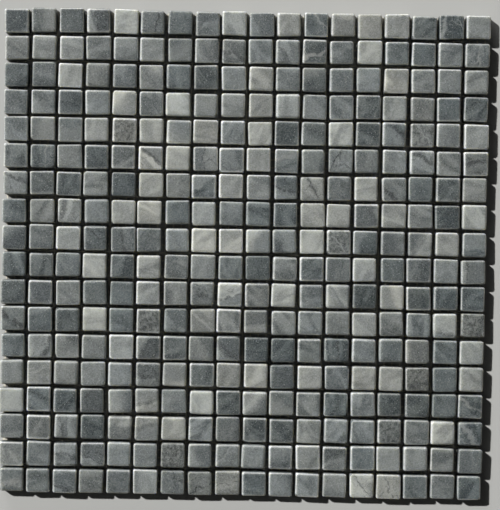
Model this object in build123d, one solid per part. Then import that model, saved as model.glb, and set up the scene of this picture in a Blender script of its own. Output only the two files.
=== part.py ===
from build123d import *
import os
import random
from math import floor

# Tiles: tumbled marble, sold as 15 mm squares on a sheet of about 305 mm
tile_side = 15.0
tile_thickness = 8.0
joint_width = 2.0
tiles_across = 18
tiles_down = 18
edge_ease = 0.8  # worn off the edges by tumbling

# Backing net: flat glass yarns, one layer laid across the other and bonded to it
yarn_pitch = 5.0
yarn_width = 1.0
yarn_thickness = 0.2
yarn_tail = 0.5  # past the outermost crossing
net_setback = 0.8  # at least, inside the outer tile edges

# Stones: the share of the tiles cut from each, dealt over the sheet in no order
stone_shares = {"dark_grey_tiles": 0.29, "mid_grey_tiles": 0.40, "light_grey_tiles": 0.20, "pale_tiles": 0.11}
deal_seed = 18

# The sheet lies face up with its back on z = 0: crosswise yarns, lengthwise yarns, tiles
pitch = tile_side + joint_width
sheet_across = tiles_across * pitch - joint_width
sheet_down = tiles_down * pitch - joint_width
lengthwise_base = yarn_thickness
tile_base = 2 * yarn_thickness
standing = (Align.CENTER, Align.CENTER, Align.MIN)


def tumbled_tile():
    """One tile, its face edges and upright corners eased and its sawn back left flat."""
    blank = Box(tile_side, tile_side, tile_thickness, align=standing)
    face_edges = blank.faces().sort_by(Axis.Z)[-1].edges()
    upright_edges = blank.edges().filter_by(Axis.Z)
    return chamfer(face_edges + upright_edges, edge_ease)


def deal_stones(places):
    """Each stone's places on the sheet, in the shares given above."""
    shuffled = list(places)
    random.Random(deal_seed).shuffle(shuffled)
    dealt = {}
    first = 0
    running_share = 0.0
    for stone, share in stone_shares.items():
        running_share += share / sum(stone_shares.values())
        last = round(running_share * len(shuffled))
        dealt[stone] = shuffled[first:last]
        first = last
    return dealt


def yarn_count(sheet_span):
    """How many yarns lie side by side under the tiles, set back from the outer edges."""
    room = sheet_span - 2 * (net_setback + yarn_tail) - yarn_width
    return floor(room / yarn_pitch) + 1


def yarn_length(yarns_crossed):
    """A yarn runs past the outermost yarns that it crosses by its tails."""
    return (yarns_crossed - 1) * yarn_pitch + yarn_width + 2 * yarn_tail


def laid(piece, places):
    """Copies of one piece at each place, as separate solids."""
    return Compound([place * piece for place in places])


crosswise_count = yarn_count(sheet_down)
lengthwise_count = yarn_count(sheet_across)
crosswise_yarn = Box(yarn_length(lengthwise_count), yarn_width, yarn_thickness, align=standing)
lengthwise_yarn = Box(yarn_width, yarn_length(crosswise_count), yarn_thickness, align=standing)
crosswise_places = GridLocations(0, yarn_pitch, 1, crosswise_count)
lengthwise_places = GridLocations(yarn_pitch, 0, lengthwise_count, 1)
tile_places = GridLocations(pitch, pitch, tiles_across, tiles_down)

nodes = {
    "net_crosswise_yarns": laid(crosswise_yarn, crosswise_places),
    "net_lengthwise_yarns": Pos(0, 0, lengthwise_base) * laid(lengthwise_yarn, lengthwise_places),
}
tile = tumbled_tile()
for stone, places in deal_stones(tile_places).items():
    nodes[stone] = Pos(0, 0, tile_base) * laid(tile, places)

os.makedirs("parts", exist_ok=True)
for name, shape in nodes.items():
    export_step(shape, f"parts/{name}.step")
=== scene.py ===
import random
from math import cos, pi, radians, sin

import bmesh
import bpy
from mathutils import Matrix, Vector, noise


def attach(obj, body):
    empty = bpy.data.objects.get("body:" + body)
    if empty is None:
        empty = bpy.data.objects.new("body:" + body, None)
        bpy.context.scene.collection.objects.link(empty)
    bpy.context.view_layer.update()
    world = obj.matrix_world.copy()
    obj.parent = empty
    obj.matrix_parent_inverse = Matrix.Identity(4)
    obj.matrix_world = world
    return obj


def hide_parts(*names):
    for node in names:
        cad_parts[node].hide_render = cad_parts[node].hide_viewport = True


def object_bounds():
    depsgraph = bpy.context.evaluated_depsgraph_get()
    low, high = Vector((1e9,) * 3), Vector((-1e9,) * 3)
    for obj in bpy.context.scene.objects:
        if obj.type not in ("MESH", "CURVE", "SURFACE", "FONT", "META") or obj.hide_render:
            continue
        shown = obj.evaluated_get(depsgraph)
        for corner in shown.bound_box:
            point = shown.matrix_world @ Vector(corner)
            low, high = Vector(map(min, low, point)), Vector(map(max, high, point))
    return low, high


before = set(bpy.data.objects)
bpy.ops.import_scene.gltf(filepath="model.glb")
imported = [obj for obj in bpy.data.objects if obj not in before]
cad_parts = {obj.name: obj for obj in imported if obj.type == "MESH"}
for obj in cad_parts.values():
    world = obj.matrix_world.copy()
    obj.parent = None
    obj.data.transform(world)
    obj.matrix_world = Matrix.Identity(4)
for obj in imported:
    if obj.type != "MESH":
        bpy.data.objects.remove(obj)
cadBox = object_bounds()
print("frame loaded, nodes:", sorted(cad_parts))

millimetre = 0.001
weldDistance = 0.001 * millimetre  # corners nearer than this are one corner
rowDigits = 5  # places that metres are rounded to, so that a row sorts as one
squareAngle = 1.0  # radians between two faces, past which their edge is a square one
flatWeight = 75  # how strongly the large faces keep their flat shading
noiseMiddle = 0.5  # what a noise texture comes to on average


# reading the frame

def solidBoxes(nodeName):
    # the low and high corner of each separate solid in a node, row by row
    bm = bmesh.new()
    bm.from_mesh(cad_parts[nodeName].data)
    bmesh.ops.remove_doubles(bm, verts=bm.verts, dist=weldDistance)
    waiting = set(bm.verts)
    boxes = []
    while waiting:
        solid = [waiting.pop()]
        for vert in solid:  # the list grows while it is walked
            for edge in vert.link_edges:
                neighbour = edge.other_vert(vert)
                if neighbour in waiting:
                    waiting.discard(neighbour)
                    solid.append(neighbour)
        low = Vector([min(vert.co[axis] for vert in solid) for axis in range(3)])
        high = Vector([max(vert.co[axis] for vert in solid) for axis in range(3)])
        boxes.append((low, high))
    bm.free()
    return sorted(boxes, key=lambda box: (round(box[0].y, rowDigits), round(box[0].x, rowDigits)))


# building materials

def feed(tree, node, values):
    # links or sets each of the node's sockets that is named
    for socket, value in values.items():
        if isinstance(value, bpy.types.NodeSocket):
            tree.links.new(value, node.inputs[socket])
        else:
            node.inputs[socket].default_value = value


def put(tree, kind, inputs, **settings):
    node = tree.nodes.new("ShaderNode" + kind)
    for name, value in settings.items():
        setattr(node, name, value)
    feed(tree, node, inputs)
    return node


def calc(tree, operation, first, second=0.0, clamp=False):
    inputs = {0: first, 1: second}
    return put(tree, "Math", inputs, operation=operation, use_clamp=clamp).outputs[0]


def centre(tree, mask):
    # moves a mask's middle to zero
    return calc(tree, "SUBTRACT", mask, noiseMiddle)


def fade(tree, value, start, end, startValue=0.0, endValue=1.0):
    inputs = {
        "Value": value, "From Min": start, "From Max": end,
        "To Min": startValue, "To Max": endValue,
    }
    return put(tree, "MapRange", inputs, interpolation_type="SMOOTHSTEP").outputs["Result"]


def mixColour(tree, amount, first, second, blend="MIX"):
    inputs = {0: amount, 6: first, 7: second}  # by number, since its sockets share their names
    return put(tree, "Mix", inputs, data_type="RGBA", blend_type=blend).outputs[2]


def noiseMask(tree, place, settings):
    return put(tree, "TexNoise", {"Vector": place, **settings}).outputs["Fac"]


def splitVector(tree, vector):
    return put(tree, "SeparateXYZ", {"Vector": vector}).outputs


def readAttribute(tree, name):
    return put(tree, "Attribute", {}, attribute_name=name).outputs["Vector"]


def startMaterial(name):
    material = bpy.data.materials.new(name)
    material.use_nodes = True
    tree = material.node_tree
    return material, tree, tree.nodes["Principled BSDF"]


def startGroup(name, vectors, numbers, outputs):
    group = bpy.data.node_groups.new(name, "ShaderNodeTree")
    sockets = [(socket, "INPUT", "NodeSocketVector") for socket in vectors]
    sockets += [(socket, "INPUT", "NodeSocketFloat") for socket in numbers]
    sockets += [(socket, "OUTPUT", "NodeSocketFloat") for socket in outputs]
    for socket, side, kind in sockets:
        group.interface.new_socket(name=socket, in_out=side, socket_type=kind)
    given = group.nodes.new("NodeGroupInput").outputs
    result = group.nodes.new("NodeGroupOutput")
    return group, given, result


def useGroup(tree, group, inputs):
    return put(tree, "Group", inputs, node_tree=group).outputs


# effects that the stones share, all in millimetres of stone

grainLook = {
    "crystals": {"Detail": 2.0, "Roughness": 0.8},
    "glintChance": (0.82, 0.98),  # out of 1, only crystals above this glint
    "glintSize": (0.15, 0.5),  # shares of a crystal, from full to none
}


def makeSugarGrain():
    # the fine crystals of the marble, and a painted glint on a few of them
    group, given, result = startGroup("sugarGrain", ["Place"], ["Crystals"], ["Grain", "Specks"])
    scale = {"Scale": given["Crystals"]}
    grain = noiseMask(group, given["Place"], {**grainLook["crystals"], **scale})
    cells = put(group, "TexVoronoi", {"Vector": given["Place"], **scale}).outputs
    chance = put(group, "SeparateColor", {"Color": cells["Color"]}).outputs["Red"]
    chosen = fade(group, chance, *grainLook["glintChance"])
    near = fade(group, cells["Distance"], *grainLook["glintSize"], 1.0, 0.0)
    feed(group, result, {"Grain": grain, "Specks": calc(group, "MULTIPLY", chosen, near)})
    return group


cloudLook = {
    "bedding": (1.0, 0.4, 1.0),  # the drifts are drawn out along y
    "drifts": {"Detail": 3.0, "Roughness": 0.55, "Distortion": 0.7},
    "driftTones": (0.3, 0.7),
    "blotches": {"Scale": 0.4, "Detail": 4.0, "Roughness": 0.68},
    "blotchTones": (0.38, 0.62),
}


def makeSlabClouds():
    # light and dark drifts drawn out along the bedding, and coarse blotches
    group, given, result = startGroup("slabClouds", ["Place"], ["Drift"], ["Clouds", "Mottle"])
    stretch = {"Vector": given["Place"], "Scale": cloudLook["bedding"]}
    bedding = put(group, "Mapping", stretch).outputs["Vector"]
    drifts = noiseMask(group, bedding, {**cloudLook["drifts"], "Scale": given["Drift"]})
    blotches = noiseMask(group, given["Place"], cloudLook["blotches"])
    feed(group, result, {
        "Clouds": fade(group, drifts, *cloudLook["driftTones"]),
        "Mottle": fade(group, blotches, *cloudLook["blotchTones"]),
    })
    return group


veinLook = {
    "wander": {"Scale": 0.14, "Detail": 2.0, "Roughness": 0.45},
    "wanderReach": 7.0,
    "patches": {"Scale": 0.3, "Detail": 2.0},  # where the veins come and go
    "patchTones": (0.3, 0.5),
    "leastWidth": 0.3,  # share of the width that is left where a vein fades out
    "core": (0.2, 1.0),  # shares of the width, from full to none
    "threads": {"Scale": 0.1, "Detail": 2.0, "Distortion": 0.5},
    "threadWidth": (0.003, 0.016),
    "threadStrength": 0.7,
}


def makeDarkVeins():
    # one wandering vein across the tile with finer ones beside it,
    # and the line where two beds of stone meet
    group, given, result = startGroup(
        "darkVeins", ["Place"], ["Width", "Softness"], ["Vein", "Bed"],
    )
    place = given["Place"]
    wander = centre(group, noiseMask(group, place, veinLook["wander"]))
    bend = calc(group, "MULTIPLY", wander, veinLook["wanderReach"])
    offset = calc(group, "ADD", splitVector(group, place)["X"], bend)
    patches = noiseMask(group, place, veinLook["patches"])
    strength = fade(group, patches, *veinLook["patchTones"])
    share = calc(group, "ADD", strength, veinLook["leastWidth"])
    width = calc(group, "MULTIPLY", given["Width"], share)
    closeness = calc(group, "DIVIDE", calc(group, "ABSOLUTE", offset), width)
    main = fade(group, closeness, *veinLook["core"], 1.0, 0.0)
    threads = centre(group, noiseMask(group, place, veinLook["threads"]))
    fromThread = calc(group, "ABSOLUTE", threads)
    finer = fade(group, fromThread, *veinLook["threadWidth"], veinLook["threadStrength"], 0.0)
    vein = calc(group, "MULTIPLY", calc(group, "MAXIMUM", main, finer), strength)
    side = calc(group, "DIVIDE", offset, given["Softness"])
    feed(group, result, {"Vein": vein, "Bed": fade(group, side, -1.0, 1.0)})
    return group


edgeLook = {
    "ragged": {"Scale": 0.9, "Detail": 3.0, "Roughness": 0.6},
    "polish": (0.55, 1.0),  # shares of the rounding, from full to none
    # rim and corner paleness: pale bruising from tumbling and painted highlight in one
    "rim": (0.27, 0.6),
    "rimStrength": 0.6,
    "corner": (0.4, 1.1),
    "cornerStrength": 0.4,
    "underFace": (1.0, 3.5),  # between these depths the pale bruising and painted highlight fall to the lower strength
    "lowerStrength": 0.3,
    "nicks": 3.0,
    "crown": (0.2, 2.1),
    "crownFall": -5.5,  # in heights of the relief, as the nicks are
}


def makeRubbedEdges():
    # how near a point is to a tile's edges, where tumbling has polished the stone
    # and bruised it pale, most at the corners, a paleness that is partly painted highlight
    group, given, result = startGroup(
        "rubbedEdges", ["Tile place", "Slab place"], ["Half side", "Thickness", "Rounding"],
        ["Polished", "BruisedAndHighlit", "Relief"],
    )
    place = splitVector(group, given["Tile place"])
    fromX = calc(group, "SUBTRACT", given["Half side"], calc(group, "ABSOLUTE", place["X"]))
    fromY = calc(group, "SUBTRACT", given["Half side"], calc(group, "ABSOLUTE", place["Y"]))
    fromFace = calc(group, "SUBTRACT", given["Thickness"], place["Z"])
    fromEnds = calc(group, "MINIMUM", fromFace, place["Z"])
    nearer = calc(group, "MINIMUM", fromX, fromY)
    farther = calc(group, "MAXIMUM", fromX, fromY)
    fromEdge = calc(group, "MAXIMUM", nearer, calc(group, "MINIMUM", farther, fromEnds))
    fromCorner = calc(group, "MAXIMUM", farther, fromFace)
    ragged = noiseMask(group, given["Slab place"], edgeLook["ragged"])
    uneven = calc(group, "ADD", ragged, noiseMiddle)  # one on average
    reach = calc(group, "MULTIPLY", given["Rounding"], uneven)
    depth = calc(group, "DIVIDE", fromEdge, reach)
    cornerDepth = calc(group, "DIVIDE", fromCorner, reach)
    polished = fade(group, depth, *edgeLook["polish"], 1.0, 0.0)
    rim = fade(group, depth, *edgeLook["rim"], edgeLook["rimStrength"], 0.0)
    corner = fade(group, cornerDepth, *edgeLook["corner"], edgeLook["cornerStrength"], 0.0)
    lower = fade(group, fromFace, *edgeLook["underFace"], 1.0, edgeLook["lowerStrength"])
    bruisedAndHighlit = calc(group, "MULTIPLY", calc(group, "ADD", rim, corner), lower)
    nicks = calc(group, "MULTIPLY", calc(group, "MULTIPLY", ragged, polished), edgeLook["nicks"])
    # the face falls away a little toward its edges
    crown = fade(group, depth, *edgeLook["crown"], edgeLook["crownFall"], 0.0)
    relief = calc(group, "ADD", nicks, crown)
    feed(group, result, {"Polished": polished, "BruisedAndHighlit": bruisedAndHighlit, "Relief": relief})
    return group


sugarGrain = makeSugarGrain()
slabClouds = makeSlabClouds()
darkVeins = makeDarkVeins()
rubbedEdges = makeRubbedEdges()
print("stone effects ready")


# shaping, for tiles and yarns

def runOf(edge, axis):
    # how far an edge runs along an axis
    return abs(edge.verts[0].co[axis] - edge.verts[1].co[axis])


def squareEdges(bm, lowest):
    # the square edges that lie above a height
    found = []
    for edge in bm.edges:
        above = min(vert.co.z for vert in edge.verts) > lowest
        if above and edge.calc_face_angle(0.0) > squareAngle:
            found.append(edge)
    return found


def roundEdges(bm, edges, width, segments):
    bmesh.ops.bevel(
        bm, geom=edges, offset=width, offset_type="OFFSET", segments=segments,
        profile=0.5, affect="EDGES", material=-1, clamp_overlap=True,
    )


def writeLayer(bm, name, valueAt):
    # keeps a value at each corner for the finish to read
    layer = bm.verts.layers.float_vector.new(name)
    for vert in bm.verts:
        vert[layer] = valueAt(vert.co)


def gather(whole, part):
    # adds one small shape to the joined one, with its attributes
    shape = bpy.data.meshes.new("part")
    part.to_mesh(shape)
    part.free()
    whole.from_mesh(shape)
    bpy.data.meshes.remove(shape)


def finishPiece(bm, name, material, nodeName):
    for face in bm.faces:
        face.smooth = True
    mesh = bpy.data.meshes.new(name)
    bm.to_mesh(mesh)
    bm.free()
    mesh.materials.append(material)
    piece = bpy.data.objects.new(name, mesh)
    bpy.context.scene.collection.objects.link(piece)
    evenShade = piece.modifiers.new("flat faces stay flat", "WEIGHTED_NORMAL")
    evenShade.weight = flatWeight
    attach(piece, "root")
    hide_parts(nodeName)
    print(name, "faces:", len(mesh.polygons))


# marble tiles

tileForm = {
    "fullness": 0.3 * millimetre,  # over the nominal side, lost again in the rounding
    "sideSpread": 0.4 * millimetre,
    "thicknessSpread": 0.2 * millimetre,
    "outOfSquare": 0.2 * millimetre,
    "upright": (1.1 * millimetre, 1.8 * millimetre),  # rounding left by tumbling
    "uprightSteps": 2,
    "faceEdge": (1.2 * millimetre, 2.2 * millimetre),
    "faceEdgeSteps": 3,
    "faceSlope": 0.012,
    "unevenness": 0.12 * millimetre,
    "unevenPerMetre": 260.0,
    "unevenMiddle": 0.5,  # above zero, so that more is worn off than left on
    "unevenStart": (0, 90),  # where in the noise a tile begins
    "chips": (0, 0, 0, 0, 1, 1),  # one tile in three has a chipped corner
    "chipDepth": (1.3 * millimetre, 2.0 * millimetre),
    "chipSideways": (0.5, 1.3),
    "chipUpward": (0.4, 1.0),
    "chipWeld": 0.05 * millimetre,
    "wear": (0.4, 1.0),
    "slip": 0.42 * millimetre,  # how far off its place in the grid
    "turn": radians(1.1),
    "drift": 0.35 * millimetre,  # how far the grid itself wanders
    "driftPerMetre": 17.0,
    "driftApart": Vector((0, 0, 9.5)),  # from the noise for x to the noise for y
    "seed": 41,
}

# veined, bedded and mottled are the shares of the tiles that have such marks,
# and calcite is the share of the veins that are white
tileStones = {
    "dark_grey_tiles": {
        "piece": "darkGreyTiles", "slot": "dark_grey_marble",
        "deep": (0.061, 0.073, 0.074, 1), "light": (0.165, 0.183, 0.180, 1),
        "bed": (0.220, 0.233, 0.226, 1), "veinColour": (0.034, 0.039, 0.040, 1),
        "veined": 0.14, "calcite": 0.25, "bedded": 0.14, "mottled": 0.05, "grain": 0.31,
    },
    "mid_grey_tiles": {
        "piece": "midGreyTiles", "slot": "mid_grey_marble",
        "deep": (0.116, 0.128, 0.126, 1), "light": (0.246, 0.260, 0.252, 1),
        "bed": (0.073, 0.083, 0.084, 1), "veinColour": (0.045, 0.050, 0.050, 1),
        "veined": 0.19, "calcite": 0.2, "bedded": 0.18, "mottled": 0.06, "grain": 0.36,
    },
    "light_grey_tiles": {
        "piece": "lightGreyTiles", "slot": "light_grey_marble",
        "deep": (0.191, 0.200, 0.191, 1), "light": (0.334, 0.342, 0.322, 1),
        "bed": (0.120, 0.131, 0.129, 1), "veinColour": (0.060, 0.065, 0.064, 1),
        "veined": 0.19, "calcite": 0.1, "bedded": 0.20, "mottled": 0.02, "grain": 0.38,
    },
    "pale_tiles": {
        "piece": "paleTiles", "slot": "pale_marble",
        "deep": (0.263, 0.270, 0.252, 1), "light": (0.448, 0.453, 0.419, 1),
        "bed": (0.185, 0.198, 0.194, 1), "veinColour": (0.090, 0.095, 0.092, 1),
        "veined": 0.14, "calcite": 0.0, "bedded": 0.25, "mottled": 0.0, "grain": 0.36,
    },
}

# how one tile of a stone differs from the next, with lengths in millimetres of stone
stoneSpread = {
    "cutAside": (-5, 5),
    "cutApart": 60,  # from one tile to the next in the block
    "lightness": (0.12, 0.8),
    "drifts": (0.45, 1.5),
    "warmPower": 1.4,  # over one, so that cool tiles are the commoner
    "veinWidths": (0.5, 1.2, 2.2),
    "veinSpread": (0.8, 1.4),
    "bedSoftness": (0.7, 2.0, 3.5, 5.0),
    "markStrength": (0.6, 1.0),
}


def levelStray(rng, reach):
    return Vector((rng.uniform(-1, 1), rng.uniform(-1, 1), 0)) * reach


def chipCorner(bm, size, rng):
    # breaks a sliver off one corner of the face
    across = Vector((rng.choice((-1, 1)), rng.choice((-1, 1)), 0))
    corner = Vector((across.x * size.x / 2, across.y * size.y / 2, size.z))
    slope = Vector((
        across.x * rng.uniform(*tileForm["chipSideways"]),
        across.y * rng.uniform(*tileForm["chipSideways"]),
        rng.uniform(*tileForm["chipUpward"]),
    ))
    slope.normalize()
    cut = corner - slope * rng.uniform(*tileForm["chipDepth"])
    everything = bm.verts[:] + bm.edges[:] + bm.faces[:]
    bmesh.ops.bisect_plane(bm, geom=everything, plane_co=cut, plane_no=slope, clear_outer=True)
    rim = [edge for edge in bm.edges if edge.is_boundary]
    bmesh.ops.holes_fill(bm, edges=rim, sides=0)
    bmesh.ops.remove_doubles(bm, verts=bm.verts, dist=tileForm["chipWeld"])


def wearFace(bm, lowest, rng):
    # leaves the face a little uneven and out of level, down to a height
    start = Vector([rng.uniform(*tileForm["unevenStart"]) for axis in range(3)])
    slope = levelStray(rng, tileForm["faceSlope"])
    for vert in bm.verts:
        if vert.co.z > lowest:
            swell = noise.noise(vert.co * tileForm["unevenPerMetre"] + start)
            swell -= tileForm["unevenMiddle"]
            vert.co += vert.normal * swell * tileForm["unevenness"]
            vert.co.z += slope.dot(vert.co)


def shapeTile(size, rng):
    # one tumbled tile, its back on z = 0 and its middle on the z axis
    bm = bmesh.new()
    bmesh.ops.create_cube(bm, size=1.0)
    body = Vector((
        size.x + tileForm["fullness"] + rng.uniform(-1, 1) * tileForm["sideSpread"],
        size.y + tileForm["fullness"] + rng.uniform(-1, 1) * tileForm["sideSpread"],
        size.z + rng.uniform(-1, 1) * tileForm["thicknessSpread"],
    ))
    halfway = size.z / 2
    bmesh.ops.scale(bm, vec=body, verts=bm.verts)
    bmesh.ops.translate(bm, vec=(0, 0, body.z / 2), verts=bm.verts)
    uprights = [edge for edge in bm.edges if runOf(edge, 2) > halfway]
    for upright in uprights:
        stray = levelStray(rng, tileForm["outOfSquare"])
        bmesh.ops.translate(bm, vec=stray, verts=upright.verts)
    roundEdges(bm, uprights, rng.uniform(*tileForm["upright"]), tileForm["uprightSteps"])
    rounding = rng.uniform(*tileForm["faceEdge"])
    roundEdges(bm, squareEdges(bm, halfway), rounding, tileForm["faceEdgeSteps"])
    bm.normal_update()
    wearFace(bm, halfway, rng)
    for chip in range(rng.choice(tileForm["chips"])):
        chipCorner(bm, body, rng)
    nominal = Vector([size[axis] / body[axis] / millimetre for axis in range(3)])
    wear = Vector((rounding / millimetre, rng.uniform(*tileForm["wear"]), 0))
    writeLayer(bm, "tilePlace", lambda place: place * nominal)
    writeLayer(bm, "tileWear", lambda place: wear)
    return bm


def markStone(bm, number, stone, rng):
    # which part of the block the tile was cut from, and how strongly that part is marked
    turn = Matrix.Rotation(rng.uniform(0, 2 * pi), 3, "Z")
    aside = stoneSpread["cutAside"]
    apart = stoneSpread["cutApart"] * (number + 1)
    cut = Vector((rng.uniform(*aside), rng.uniform(*aside), apart))
    tone = Vector((
        rng.uniform(*stoneSpread["lightness"]),
        rng.uniform(*stoneSpread["drifts"]),
        rng.random() ** stoneSpread["warmPower"],
    ))
    veinWidth = rng.choice(stoneSpread["veinWidths"]) * rng.uniform(*stoneSpread["veinSpread"])
    lines = Vector((veinWidth, rng.choice(stoneSpread["bedSoftness"]), 0))
    marks = Vector([
        rng.uniform(*stoneSpread["markStrength"]) if rng.random() < stone[share] else 0.0
        for share in ("veined", "bedded", "mottled")
    ])
    if rng.random() < stone["calcite"]:
        marks.x = -marks.x  # a white vein
    writeLayer(bm, "slabPlace", lambda place: turn @ place / millimetre + cut)
    writeLayer(bm, "tileTone", lambda place: tone)
    writeLayer(bm, "tileMarks", lambda place: marks)
    writeLayer(bm, "tileLines", lambda place: lines)


marbleFinish = {
    "crystals": 1.1,  # how many to a millimetre
    "drifts": 0.13,
    "markStrength": 0.85,
    "blotchLight": (0.222, 0.227, 0.209, 1),
    "blotchDark": (0.073, 0.075, 0.069, 1),
    "whiteVein": (0.3, 0.305, 0.292, 1),
    "cool": (0.967, 1.0, 1.022, 1),
    "warm": (1.005, 1.0, 0.98, 1),
    "darkest": (0.012, 0.013, 0.013, 1),
    # a painted glint: pale specks of light put into the colour of a few crystals
    "glint": (0.48, 0.49, 0.48, 1),
    "glintStrength": 0.55,
    # pale of bruised edges, also a painted highlight on the edges and corners
    "bruiseAndHighlight": (0.73, 0.73, 0.7, 1),
    "palest": (0.86, 0.86, 0.84, 1),
    "grainTones": (0.2, 0.8),
    "roughness": (0.62, 0.48),
    "polishRoughness": 0.7,  # of the edges, which are tumbled smoother than the face
    "polishIor": 2.15,
    "relief": 0.5,
    "reliefHeight": 0.05 * millimetre,
    "glowReach": 5.0 * millimetre,  # light creeps through the edges of marble
    "glowColour": (1.0, 0.94, 0.68),
}


def bodyColour(tree, stone, clouds, tone):
    # the tile's own lightness and its drifts
    drift = calc(tree, "MULTIPLY", centre(tree, clouds["Clouds"]), tone["Y"])
    lightness = calc(tree, "ADD", tone["X"], drift, clamp=True)
    return mixColour(tree, lightness, stone["deep"], stone["light"])


def addMarks(tree, colour, stone, clouds, veins, marks):
    # a second bed, blotches and a dark or white vein, on the tiles that have them
    bed = calc(tree, "MULTIPLY", veins["Bed"], marks["Y"])
    colour = mixColour(tree, bed, colour, stone["bed"])
    blotches = mixColour(
        tree, clouds["Mottle"], marbleFinish["blotchLight"], marbleFinish["blotchDark"],
    )
    mottled = calc(tree, "MULTIPLY", marks["Z"], marbleFinish["markStrength"])
    colour = mixColour(tree, mottled, colour, blotches)
    white = calc(tree, "LESS_THAN", marks["X"], 0.0)
    veinColour = mixColour(tree, white, stone["veinColour"], marbleFinish["whiteVein"])
    vein = calc(tree, "MULTIPLY", veins["Vein"], calc(tree, "ABSOLUTE", marks["X"]))
    veined = calc(tree, "MULTIPLY", vein, marbleFinish["markStrength"])
    return mixColour(tree, veined, colour, veinColour)


def addCrystals(tree, colour, stone, grain, tone):
    # a cool or warm cast, then crystals all over and a painted glint on a few
    cast = mixColour(tree, tone["Z"], marbleFinish["cool"], marbleFinish["warm"])
    colour = mixColour(tree, 1.0, colour, cast, "MULTIPLY")
    crystals = calc(tree, "MULTIPLY", centre(tree, grain["Grain"]), stone["grain"])
    colour = mixColour(tree, 1.0, colour, crystals, "ADD")
    colour = mixColour(tree, 1.0, colour, marbleFinish["darkest"], "LIGHTEN")
    glint = calc(tree, "MULTIPLY", grain["Specks"], marbleFinish["glintStrength"])
    return mixColour(tree, glint, colour, marbleFinish["glint"])


def addBruisesAndHighlight(tree, colour, edges, wear):
    # pale bruising from tumbling and a painted highlight, along the edges and most at the corners
    bruisedAndHighlit = calc(tree, "MULTIPLY", edges["BruisedAndHighlit"], wear["Y"])
    colour = mixColour(tree, bruisedAndHighlit, colour, marbleFinish["bruiseAndHighlight"], "ADD")
    return mixColour(tree, 1.0, colour, marbleFinish["palest"], "DARKEN")


def makeMarble(stone, halfSide, thickness):
    material, tree, shader = startMaterial(stone["slot"])
    place = readAttribute(tree, "slabPlace")
    tone = splitVector(tree, readAttribute(tree, "tileTone"))
    marks = splitVector(tree, readAttribute(tree, "tileMarks"))
    lines = splitVector(tree, readAttribute(tree, "tileLines"))
    wear = splitVector(tree, readAttribute(tree, "tileWear"))
    grain = useGroup(tree, sugarGrain, {"Place": place, "Crystals": marbleFinish["crystals"]})
    clouds = useGroup(tree, slabClouds, {"Place": place, "Drift": marbleFinish["drifts"]})
    veins = useGroup(tree, darkVeins, {
        "Place": place, "Width": lines["X"], "Softness": lines["Y"],
    })
    edges = useGroup(tree, rubbedEdges, {
        "Tile place": readAttribute(tree, "tilePlace"), "Slab place": place,
        "Half side": halfSide, "Thickness": thickness, "Rounding": wear["X"],
    })
    colour = bodyColour(tree, stone, clouds, tone)
    colour = addMarks(tree, colour, stone, clouds, veins, marks)
    colour = addCrystals(tree, colour, stone, grain, tone)
    colour = addBruisesAndHighlight(tree, colour, edges, wear)
    tones, roughness = marbleFinish["grainTones"], marbleFinish["roughness"]
    bump = put(tree, "Bump", {
        "Height": calc(tree, "ADD", grain["Grain"], edges["Relief"]),
        "Strength": marbleFinish["relief"], "Distance": marbleFinish["reliefHeight"],
    })
    feed(tree, shader, {
        "Base Color": colour,
        "Roughness": fade(tree, grain["Grain"], *tones, *roughness),
        "Coat Weight": calc(tree, "MULTIPLY", edges["Polished"], wear["Y"]),
        "Coat Roughness": marbleFinish["polishRoughness"],
        "Coat IOR": marbleFinish["polishIor"],
        "Subsurface Weight": 1.0,
        "Subsurface Radius": marbleFinish["glowColour"],
        "Subsurface Scale": marbleFinish["glowReach"],
        "Normal": bump.outputs["Normal"],
    })
    return material


def layTile(tile, low, high, rng):
    # sets a tile on its solid's place, a little off it and a little turned
    slip = levelStray(rng, tileForm["slip"])
    turn = Matrix.Rotation(rng.uniform(-1, 1) * tileForm["turn"], 3, "Z")
    bmesh.ops.rotate(tile, cent=(0, 0, 0), matrix=turn, verts=tile.verts)
    middle = Vector(((low.x + high.x) / 2, (low.y + high.y) / 2, low.z))
    spot = middle * tileForm["driftPerMetre"]
    wander = Vector((noise.noise(spot), noise.noise(spot + tileForm["driftApart"]), 0))
    place = middle + slip + wander * tileForm["drift"]
    bmesh.ops.translate(tile, vec=place, verts=tile.verts)


def makeTiles(nodeName, stone, rng):
    whole = bmesh.new()
    for layer in ("tilePlace", "tileWear", "slabPlace", "tileTone", "tileMarks", "tileLines"):
        whole.verts.layers.float_vector.new(layer)
    boxes = solidBoxes(nodeName)
    for number, (low, high) in enumerate(boxes):
        tile = shapeTile(high - low, rng)
        markStone(tile, number, stone, rng)
        layTile(tile, low, high, rng)
        gather(whole, tile)
    size = boxes[0][1] - boxes[0][0]
    material = makeMarble(stone, size.x / 2 / millimetre, size.z / millimetre)
    finishPiece(whole, stone["piece"], material, nodeName)


tileRng = random.Random(tileForm["seed"])
for nodeName, stone in tileStones.items():
    makeTiles(nodeName, stone, tileRng)
print("tiles laid")


# backing net

netYarns = {
    "pieces": {
        "net_crosswise_yarns": "netCrosswiseYarns",
        "net_lengthwise_yarns": "netLengthwiseYarns",
    },
    "spans": 6,
    "edge": 0.07 * millimetre,
    "edgeSteps": 1,
    "shortest": 0.1 * millimetre,  # edges that run less than this along a yarn stay square
    "widthSpread": 0.10,
    "swellPerMetre": 180,
    "swellStart": (0, 500),  # where in the noise a yarn begins
    "seed": 7,
    "slot": "glass_yarn",
    "fibreStretch": (0.25, 9.0, 9.0),
    "fibres": {"Scale": 1.0, "Detail": 3.0},
    "fibreTones": (0.3, 0.7),
    "deep": (0.55, 0.52, 0.42, 1),
    "light": (0.80, 0.77, 0.67, 1),
    "roughness": (0.55, 0.38),
    "relief": 0.6,
    "reliefHeight": 0.04 * millimetre,
}


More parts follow.
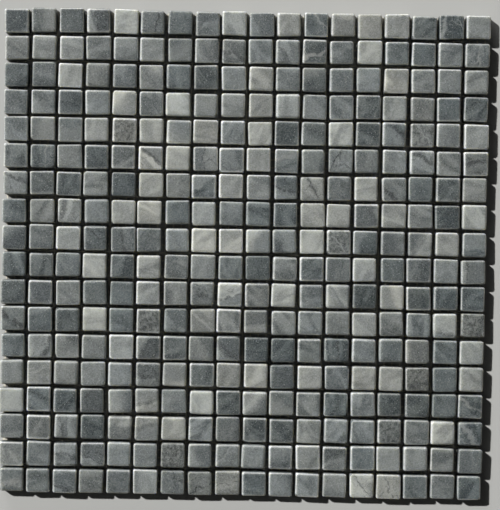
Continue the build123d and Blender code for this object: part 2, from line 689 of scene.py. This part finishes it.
def shapeYarn(length, width, thickness, rng):
    # a flat roving along x, its edges thinned and its width a little uneven
    bm = bmesh.new()
    bmesh.ops.create_cube(bm, size=1.0)
    bmesh.ops.scale(bm, vec=(length, width, thickness), verts=bm.verts)
    lengthwise = [edge for edge in bm.edges if runOf(edge, 0) > length / 2]
    cuts = netYarns["spans"] - 1
    bmesh.ops.subdivide_edges(bm, edges=lengthwise, cuts=cuts, use_grid_fill=True)
    square = squareEdges(bm, -thickness)
    rims = [edge for edge in square if runOf(edge, 0) > netYarns["shortest"]]
    roundEdges(bm, rims, netYarns["edge"], netYarns["edgeSteps"])
    start = rng.uniform(*netYarns["swellStart"])
    writeLayer(bm, "yarnPlace", lambda place: place / millimetre + Vector((start, 0, 0)))
    for vert in bm.verts:
        spot = Vector((vert.co.x * netYarns["swellPerMetre"] + start, start, 0))
        vert.co.y *= 1 + noise.noise(spot) * netYarns["widthSpread"]
    return bm


def makeGlassYarn():
    material, tree, shader = startMaterial(netYarns["slot"])
    stretch = {"Vector": readAttribute(tree, "yarnPlace"), "Scale": netYarns["fibreStretch"]}
    place = put(tree, "Mapping", stretch).outputs["Vector"]
    fibres = noiseMask(tree, place, netYarns["fibres"])
    tones, roughness = netYarns["fibreTones"], netYarns["roughness"]
    bump = put(tree, "Bump", {
        "Height": fibres,
        "Strength": netYarns["relief"], "Distance": netYarns["reliefHeight"],
    })
    feed(tree, shader, {
        "Base Color": mixColour(
            tree, fade(tree, fibres, *tones), netYarns["deep"], netYarns["light"],
        ),
        "Roughness": fade(tree, fibres, *tones, *roughness),
        "Normal": bump.outputs["Normal"],
    })
    return material


def makeNet(nodeName, pieceName, material, rng):
    whole = bmesh.new()
    whole.verts.layers.float_vector.new("yarnPlace")
    for low, high in solidBoxes(nodeName):
        size = high - low
        yarn = shapeYarn(max(size.x, size.y), min(size.x, size.y), size.z, rng)
        if size.y > size.x:
            quarter = Matrix.Rotation(pi / 2, 3, "Z")
            bmesh.ops.rotate(yarn, cent=(0, 0, 0), matrix=quarter, verts=yarn.verts)
        bmesh.ops.translate(yarn, vec=(low + high) / 2, verts=yarn.verts)
        gather(whole, yarn)
    finishPiece(whole, pieceName, material, nodeName)


glassYarn = makeGlassYarn()
yarnRng = random.Random(netYarns["seed"])
for nodeName, pieceName in netYarns["pieces"].items():
    makeNet(nodeName, pieceName, glassYarn, yarnRng)
print("net laid")


# floor, light and camera

stageSet = {
    "floorSide": 60.0,  # far enough that its edge stays out of sight from most sides
    "floorDrop": 0.05 * millimetre,
    "floorColour": (0.455, 0.455, 0.435, 1),
    "floorRoughness": 0.8,
    "sunTravel": (0.602, -0.442, -0.665),  # from the upper left
    "sunStrength": 4.27,
    "sunSoftness": radians(2.5),
    "fillTravel": (0.35, -0.92, -0.18),  # low and broad, from behind the sheet
    "fillStrength": 1.4,
    "fillSoftness": radians(30),
    "skyColour": (1.0, 1.0, 1.0, 1),
    "skyStrength": 0.03,
}

cameraView = {
    "foot": (0.0018, 0.0203),
    "height": 1.0,
    "aim": (0.0038, -0.0002),
    "roll": radians(-1.007),
    "lens": 111.48,
}


def makeFloor():
    bm = bmesh.new()
    bmesh.ops.create_grid(bm, x_segments=1, y_segments=1, size=stageSet["floorSide"] / 2)
    bmesh.ops.translate(bm, vec=(0, 0, -stageSet["floorDrop"]), verts=bm.verts)
    mesh = bpy.data.meshes.new("floor")
    bm.to_mesh(mesh)
    bm.free()
    material, tree, shader = startMaterial("floor")
    feed(tree, shader, {
        "Base Color": stageSet["floorColour"], "Roughness": stageSet["floorRoughness"],
    })
    mesh.materials.append(material)
    floor = bpy.data.objects.new("floor", mesh)
    bpy.context.scene.collection.objects.link(floor)


def makeLamp(name):
    light = bpy.data.lights.new(name, "SUN")
    light.energy = stageSet[name + "Strength"]
    light.angle = stageSet[name + "Softness"]
    lamp = bpy.data.objects.new(name, light)
    travel = Vector(stageSet[name + "Travel"])
    lamp.rotation_euler = travel.to_track_quat("-Z", "Y").to_euler()
    bpy.context.scene.collection.objects.link(lamp)


def makeSky():
    sky = bpy.data.worlds.new("sky")
    sky.use_nodes = True
    tree = sky.node_tree
    feed(tree, tree.nodes["Background"], {
        "Color": stageSet["skyColour"], "Strength": stageSet["skyStrength"],
    })
    bpy.context.scene.world = sky


def makeCamera():
    eye = Vector((*cameraView["foot"], cameraView["height"]))
    forward = (Vector((*cameraView["aim"], cadBox[1].z)) - eye).normalized()
    upward = Vector((sin(cameraView["roll"]), cos(cameraView["roll"]), 0))
    right = forward.cross(upward).normalized()
    turn = Matrix((right, right.cross(forward), -forward)).transposed()
    lens = bpy.data.cameras.new("camera")
    lens.lens = cameraView["lens"]
    camera = bpy.data.objects.new("camera", lens)
    camera.matrix_world = Matrix.Translation(eye) @ turn.to_4x4()
    bpy.context.scene.collection.objects.link(camera)
    bpy.context.scene.camera = camera


makeFloor()
makeLamp("sun")
makeLamp("fill")
makeSky()
makeCamera()
bpy.context.scene.view_settings.view_transform = "Standard"
print("floor, light and camera set")
